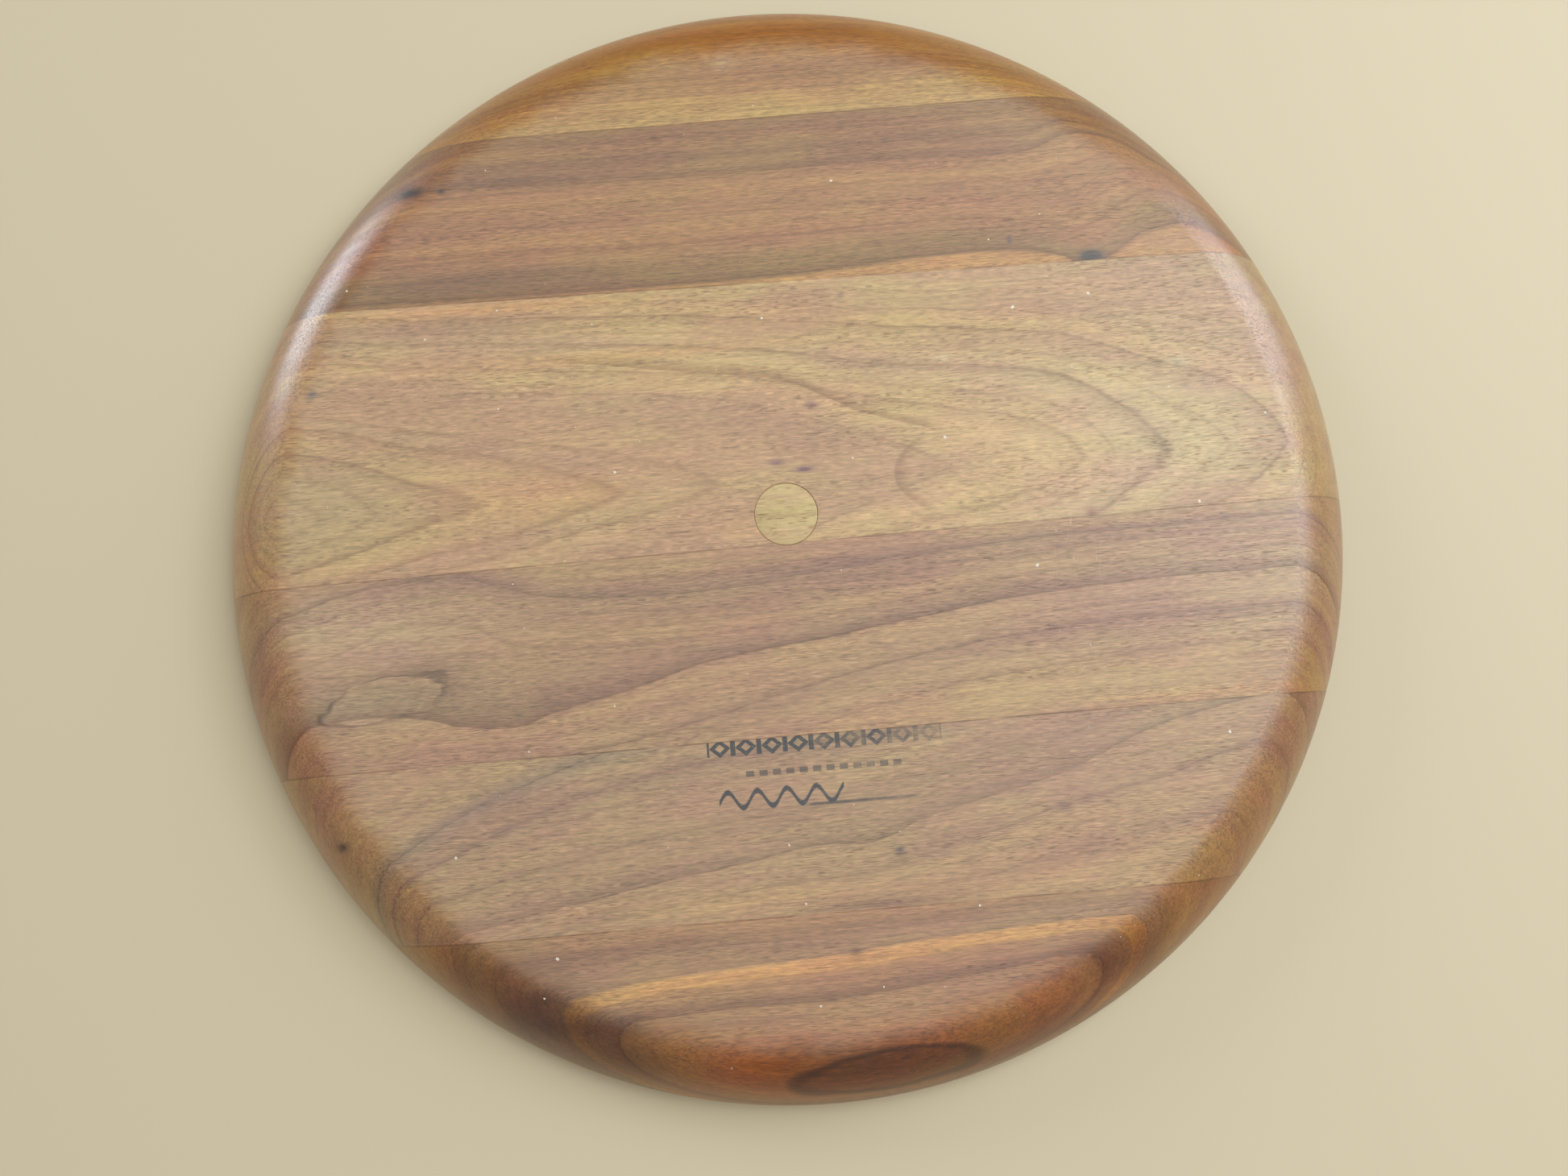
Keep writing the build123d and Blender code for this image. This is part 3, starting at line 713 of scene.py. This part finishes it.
def near_stave():
    """The near stave: brown, with one bright orange streak and an oval knot in its rounded edge; the edge's darkest
    tones and patches are partly dark wood and partly painted shade.
    """
    orange_top = [(-205, -200), (-110, -169), (-95, -164), (-85, -160.5), (-61, -156.3), (-30, -154), (0, -152.3),
                  (37, -149.3), (75, -147.2), (106, -147.2), (118, -150), (140, -160), (205, -190)]
    orange_low = [(-205, -208), (-110, -175), (-95, -169), (-85, -165), (-61, -160.5), (-30, -157.8), (0, -156.8),
                  (37, -153.7), (60, -151.8), (90, -150.3), (112, -152.8), (120, -157), (140, -167), (205, -197)]
    streak = [(-205, -214), (-110, -182), (-80, -172), (-66, -168), (-30, -166), (0, -165.8), (20, -164.2),
              (60, -160), (90, -156.8), (108, -158.5), (120, -164), (205, -203)]
    edge = [(-205, -222), (-80, -184), (-50, -177), (-20, -177), (0, -178), (30, -177.5), (60, -173), (90, -168),
            (205, -209)]
    oval = [(-205, -228), (-100, -190), (-50, -182.2), (-20, -182.6), (20, -181.6), (60, -178.6), (100, -175),
            (205, -215)]

    def grain(w, x, across, depth):
        return guided(w, x, across, [(-186, oval), (-179, edge), (-166, streak), (-157, orange_low),
                                     (-152.5, orange_top), (-138, [(-205, -138), (205, -138)])])

    def oval_knot(w, x, y, shown):
        dx = w.math("DIVIDE", w.add(x, -18.0), 31.0)
        dy = w.math("DIVIDE", w.add(y, 192.2, w.times(x, -0.075)), 7.2)
        wavy = w.times(w.minus(w.noise(w.place(), 55, detail=2.0), 0.5), 0.35)
        far = w.add(w.math("SQRT", w.add(w.times(dx, dx), w.times(dy, dy))), wavy)
        inside = w.mix(w.mask(far, 1.02, 0.9), shown, w.mix(1.0, shown, color(214, 207, 203), "MULTIPLY"))
        ring = w.times(w.mask(far, 0.78, 0.97), w.mask(far, 1.14, 1.0))
        return w.mix(w.times(ring, 0.75), inside, w.mix(1.0, inside, color(146, 134, 128), "MULTIPLY"))
    return walnut(
        "walnut dark and shaded edge", 6.0, grain,
        # The darkest tones, out on the rounded edge, are partly the wood's own and partly painted shade of the near
        # edge.
        [(-200, (112, 72, 52)), (-188, (120, 78, 56)), (-186, (138, 92, 66)), (-183, (164, 114, 80)),
         (-180, (172, 122, 86)), (-176, (174, 125, 89)), (-170, (172, 129, 95)), (-167.5, (169, 124, 91)),
         (-165, (139, 95, 73)), (-162, (169, 124, 91)), (-158, (174, 127, 91)), (-156.6, (208, 156, 98)),
         (-153, (212, 160, 102)), (-151.6, (165, 127, 96)), (-146, (167, 129, 98)), (-143, (153, 114, 84)),
         (-140, (176, 135, 96)), (-130, (172, 133, 96))],
        [[(-184.5, 1.6, 0.5), (-173, 1.6, 0.3), (-166.4, 2.2, 0.75), (-160, 1.0, 0.55), (-157.2, 0.8, 0.5)],
         [(-151.6, 1.6, 0.35), (-148.5, 1.6, 0.3), (-145, 1.8, 0.45), (-142, 1.4, 0.45), (-139.5, 0.8, 0.3)]],
        (136, 100, 86), lean=2.4, wander=0.7,
        # Dark patches along the rounded near edge are partly the wood's own dark figure and partly painted shade.
        spots=[(-96, -159, 11, 5, 0.75, (90, 60, 46)), (-108, -150, 20, 12, 0.5, (112, 78, 58)),
               (-94, -168, 24, 9, 0.8, (80, 52, 42)), (60, -190, 80, 9, 0.4, (112, 72, 50)),
               (-76, -169, 11, 4.5, 0.8, (96, 62, 48)),
               (-117, -147, 7, 8, 0.5, (120, 84, 62)), (11, -151, 1.8, 1.2, 0.8, (120, 78, 60)),
               (98, -160, 14, 9, 0.65, (104, 70, 52)), (-48, -143, 9, 2.2, 0.5, (146, 100, 76)),
               (-38, -171, 30, 2.4, 0.3, (128, 88, 68)), (-22, -186, 16, 5, 0.45, (184, 112, 62)),
               (-68, -184, 20, 9, 0.6, (108, 74, 52)), (-80, -178, 22, 8, 0.6, (104, 70, 52)),
               (110, -162, 9, 14, 0.65, (140, 98, 70)), (88, -182, 26, 8, 0.55, (126, 86, 60))],
        extra=oval_knot)


def ink_mark(w, x, y, shown):
    """A faded ornament in dark ink: a row of lozenges and bars, a row of dashes, a wave and a thin rule."""
    def band(value, low, high, soft=0.18):
        return w.times(w.mask(value, low, low + soft), w.mask(value, high, high - soft))

    def row(middle, pitch, start, end):
        """Distance along within one pitch, and distance across, for a row that starts and ends at given X."""
        along = w.math("SUBTRACT", w.math("FLOORED_MODULO", w.minus(x, start), pitch), pitch / 2)
        return w.math("ABSOLUTE", along), w.math("ABSOLUTE", w.minus(y, middle)), band(x, start, end)

    along, aside, within = row(-80.2, 9.0, -34.0, 47.0)
    lozenge = w.mask(w.add(w.times(along, 0.85), aside), 3.3, 3.0)
    hollow = w.mask(w.add(w.times(along, 0.85), aside), 1.6, 1.3)
    bar = w.times(w.mask(along, 3.55, 3.75), w.mask(aside, 2.9, 2.6))
    first = w.times(w.math("MAXIMUM", w.minus(lozenge, hollow), bar), within)

    along, aside, within = row(-89.5, 4.6, -22.0, 33.0)
    dash = w.times(w.times(w.mask(along, 1.5, 1.3), w.mask(aside, 1.1, 0.9)), within)
    second = w.times(dash, 0.7)

    swing = w.times(w.math("SINE", w.times(x, 0.62)), 2.7)
    wave = w.times(w.mask(w.math("ABSOLUTE", w.minus(w.add(y, 98.0), swing)), 1.25, 0.7), band(x, -31.0, 12.0))
    rule = w.times(w.mask(w.math("ABSOLUTE", w.add(y, 101.4)), 0.6, 0.38), band(x, -2.0, 38.0, 3.0))
    third = w.math("MAXIMUM", wave, w.times(rule, 0.8))

    ink = w.math("MAXIMUM", w.math("MAXIMUM", first, second), third)
    place = w.place()
    blots = w.mask(w.noise(w.stretch(place, 700, 1400, 0), detail=3.0, rough=0.7), 0.27, 0.42)
    faded = w.mask(w.add(x, w.times(w.minus(w.noise(place, 120, 2.0), 0.5), 90.0)), 72.0, 4.0)
    kept = w.times(w.times(blots, faded), w.mask(w.split(place)[2], BOARD_TOP - 1 * MM, BOARD_TOP - 0.5 * MM))
    return w.mix(w.times(ink, kept), shown, color(30, 34, 44))


def stave_materials():
    """The six staves' walnut, far side first."""
    return [far_stave(), red_stave(), gold_stave(), brown_stave(), slanted_stave(), near_stave()]


def finish_shader(w, shade, rough, height, bump, metallic=0.0):
    """The shader and output of a simple material, from its colour, roughness and height."""
    shader = w.node("ShaderNodeBsdfPrincipled")
    w.feed(shader.inputs["Base Color"], shade)
    w.feed(shader.inputs["Roughness"], rough)
    shader.inputs["Metallic"].default_value = metallic
    bumps = w.node("ShaderNodeBump")
    bumps.inputs["Strength"].default_value = bump
    bumps.inputs["Distance"].default_value = 0.1 * MM
    w.feed(bumps.inputs["Height"], height)
    w.feed(shader.inputs["Normal"], bumps.outputs[0])
    w.feed(w.node("ShaderNodeOutputMaterial").inputs["Surface"], shader.outputs[0])


def plain_wood(name, seed, tone, contrast, rough):
    """Straight-grained wood with no figure of its own."""
    material, w = empty_material(name)
    across = w.times(w.split(w.place())[1], 1000)
    wandering = w.add(across, w.group(GROUPS["wobble"], amount=1.6, seed=seed)["Aside"])
    lines = w.mask(w.noise(w.times(w.add(wandering, seed * 40), 0.16), dimensions="1D", detail=1.0), 0.55, 0.68)
    wood = w.group(GROUPS["walnut"], tone=color(*tone), line=w.times(lines, contrast * 0.6),
                   line_color=color(150, 122, 104), measure=wandering, across=wandering, seed=seed,
                   contrast=contrast)
    finish_shader(w, wood["Color"], w.add(rough, wood["Roughness"]), wood["Height"], 0.3)
    return material


def tarnish_group():
    """Smudges, fine scratches and turning marks on a small hard part."""
    tree, w, given, result = new_group(
        "tarnish", {"Shade": color(180, 180, 180), "Tarnish": color(110, 104, 96), "Amount": 0.4, "Seed": 0.0},
        {"Color": COLOR, "Roughness": NUMBER, "Height": NUMBER})
    x, y, z = w.split(w.place())
    place = w.join(x, y, w.add(z, given["Seed"]))
    radius = w.math("SQRT", w.add(w.times(x, x), w.times(y, y)))
    smudges = w.mask(w.noise(place, 90, detail=4.0, rough=0.65), 0.40, 0.68)
    grit = w.minus(w.noise(place, 1100, detail=2.0), 0.5)
    turned = w.minus(w.noise(w.join(radius, z, given["Seed"]), 2400, detail=1.0), 0.5)
    stain = w.times(smudges, given["Amount"])
    light = w.add(1.0, w.times(grit, 0.22), w.times(turned, 0.14))
    w.feed(result["Color"], w.mix(1.0, w.mix(stain, given["Shade"], given["Tarnish"]),
                                  w.join(light, light, light), "MULTIPLY"))
    w.feed(result["Roughness"], w.add(w.times(stain, 0.3), w.times(grit, 0.14), w.times(turned, 0.1)))
    w.feed(result["Height"], w.add(w.times(grit, 0.5), w.times(turned, 0.4)))
    return tree


def hard_part(name, seed, shade, tarnish, rough, amount, metallic=1.0, bump=0.15, track_r=None):
    """Metal, fibre or rubber; a race is also polished bright where the balls run at track_r."""
    material, w = empty_material(name)
    face = w.group(GROUPS["tarnish"], shade=color(*shade), tarnish=color(*tarnish), amount=amount, seed=seed)
    shown, dull = face["Color"], w.add(rough, face["Roughness"])
    if track_r:
        x, y, _ = w.split(w.place())
        radius = w.times(w.math("SQRT", w.add(w.times(x, x), w.times(y, y))), 1000)
        run = w.mask(w.math("ABSOLUTE", w.minus(radius, track_r)), 2.2, 0.8)
        shown = w.mix(w.times(run, 0.6), shown, color(214, 214, 210))
        dull = w.add(dull, w.times(run, -0.22))
    finish_shader(w, shown, dull, face["Height"], bump, metallic)
    return material


def dress(nodes, material):
    """Gives CAD nodes a better material through their own slots."""
    for node in nodes:
        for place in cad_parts[node].material_slots:
            place.material = material


def dress_hardware():
    """The base, its feet and all the metal."""
    for number, tone in ((1, (150, 112, 80)), (2, (164, 124, 90)), (3, (144, 108, 80))):
        dress([f"base_stave_{number}"], plain_wood(f"base walnut {number}", 10.0 + number, tone, 1.0, 0.5))
    zinc, dark = (186, 188, 186), (122, 120, 114)
    races = hard_part("race steel", 20.0, zinc, dark, 0.36, 0.5, track_r=TRACK_R / MM)
    dress(["lower_race", "upper_race"], races)
    dress(["pivot_bolt", "pivot_nut", "steel_washer"], hard_part("bolt steel", 21.0, zinc, dark, 0.34, 0.45))
    dress(["pivot_bush"], hard_part("bush steel", 22.0, (150, 148, 142), (92, 84, 72), 0.3, 0.55, bump=0.25))
    dress(["bearing_balls"], hard_part("ball steel", 23.0, (206, 206, 204), (150, 146, 138), 0.13, 0.3, bump=0.04))
    dress(["ball_cage"], hard_part("cage steel", 24.0, (160, 160, 156), (104, 98, 90), 0.42, 0.5))
    dress(["lower_race_screws", "upper_race_screws"],
          hard_part("screw brass", 25.0, (188, 156, 92), (112, 88, 54), 0.4, 0.6))
    dress(["foot_screws"], hard_part("screw steel", 26.0, zinc, dark, 0.38, 0.5))
    dress(["fibre_washer"], hard_part("red fibre", 27.0, (140, 46, 36), (88, 34, 30), 0.55, 0.5, 0.0, 0.3))
    dress([f"foot_{number}" for number in range(1, 5)],
          hard_part("foot rubber", 28.0, (36, 35, 34), (78, 74, 68), 0.72, 0.45, 0.0, 0.4))


# ---------------------------------------------------------------- stage

def make_floor():
    """A plain pale floor."""
    bm = bmesh.new()
    bmesh.ops.create_grid(bm, x_segments=1, y_segments=1, size=FLOOR_HALF)
    mesh = bpy.data.meshes.new("floor")
    bm.to_mesh(mesh)
    bm.free()
    floor = bpy.data.objects.new("floor", mesh)
    bpy.context.scene.collection.objects.link(floor)
    material = bpy.data.materials.new("floor")
    material.use_nodes = True
    shader = material.node_tree.nodes["Principled BSDF"]
    shader.inputs["Base Color"].default_value = color(208, 194, 163)
    shader.inputs["Roughness"].default_value = 0.75
    mesh.materials.append(material)


def soft_light(name, place, aim, size, power, tint=(1, 1, 1)):
    """A rectangular studio light at a place, turned to a point."""
    lamp = bpy.data.lights.new(name, "AREA")
    lamp.shape = "RECTANGLE"
    lamp.size, lamp.size_y = size
    lamp.energy = power
    lamp.color = tint
    made = bpy.data.objects.new(name, lamp)
    made.location = place
    made.rotation_euler = (Vector(aim) - Vector(place)).to_track_quat("-Z", "Y").to_euler()
    bpy.context.scene.collection.objects.link(made)


def make_lights():
    """Window light from both sides, a weak light from above and a pale room."""
    soft_light("right window", (1.0, 0.3, 1.35), (0.05, 0, 0), (1.3, 1.2), 18.5, (0.92, 0.99, 1.06))
    soft_light("low right window", (2.06, 1.29, 1.08), (0.1, 0, 0), (0.91, 1.68), 21.5, (0.88, 0.97, 1.1))
    soft_light("left window", (-2.24, 1.82, 0.8), (0, 0, 0.02), (0.95, 1.5), 37, (0.88, 0.97, 1.06))
    soft_light("overhead", (0.1, -0.9, 2.2), (0, 0, 0), (2.0, 1.4), 8.5, (1.0, 0.96, 0.9))
    world = bpy.data.worlds.new("room")
    world.use_nodes = True
    background = world.node_tree.nodes["Background"]
    background.inputs["Color"].default_value = color(228, 224, 214)
    background.inputs["Strength"].default_value = 0.42
    bpy.context.scene.world = world


def make_camera():
    """Nearly straight down, from a little towards the near side, turned so that the staves lean."""
    place, aim, lean = Vector((-5.8, -93.7, 464.2)) * MM, Vector((-2.9, -26.3, 25.6)) * MM, math.radians(4.755)
    back = (place - aim).normalized()
    right = Vector((math.cos(lean), -math.sin(lean), 0))
    right = (right - right.dot(back) * back).normalized()
    lens = bpy.data.cameras.new("camera")
    lens.sensor_width = 36.0
    lens.lens = 29.12
    lens.clip_start = 0.01
    camera = bpy.data.objects.new("camera", lens)
    turn = Matrix((right, back.cross(right), back)).transposed().to_4x4()
    camera.matrix_world = Matrix.Translation(place) @ turn
    bpy.context.scene.collection.objects.link(camera)
    bpy.context.scene.camera = camera


GROUPS = {"hill": hill_group(), "wobble": wobble_group(), "walnut": walnut_group(), "wear": wear_group(),
          "tarnish": tarnish_group()}

make_staves(stave_materials())
make_plug(plain_wood("pale plug wood", 7.0, (200, 182, 142), 0.45, 0.6))
dress_hardware()
make_floor()
make_lights()
make_camera()
bpy.context.scene.view_settings.view_transform = "Standard"

bpy.context.view_layer.update()
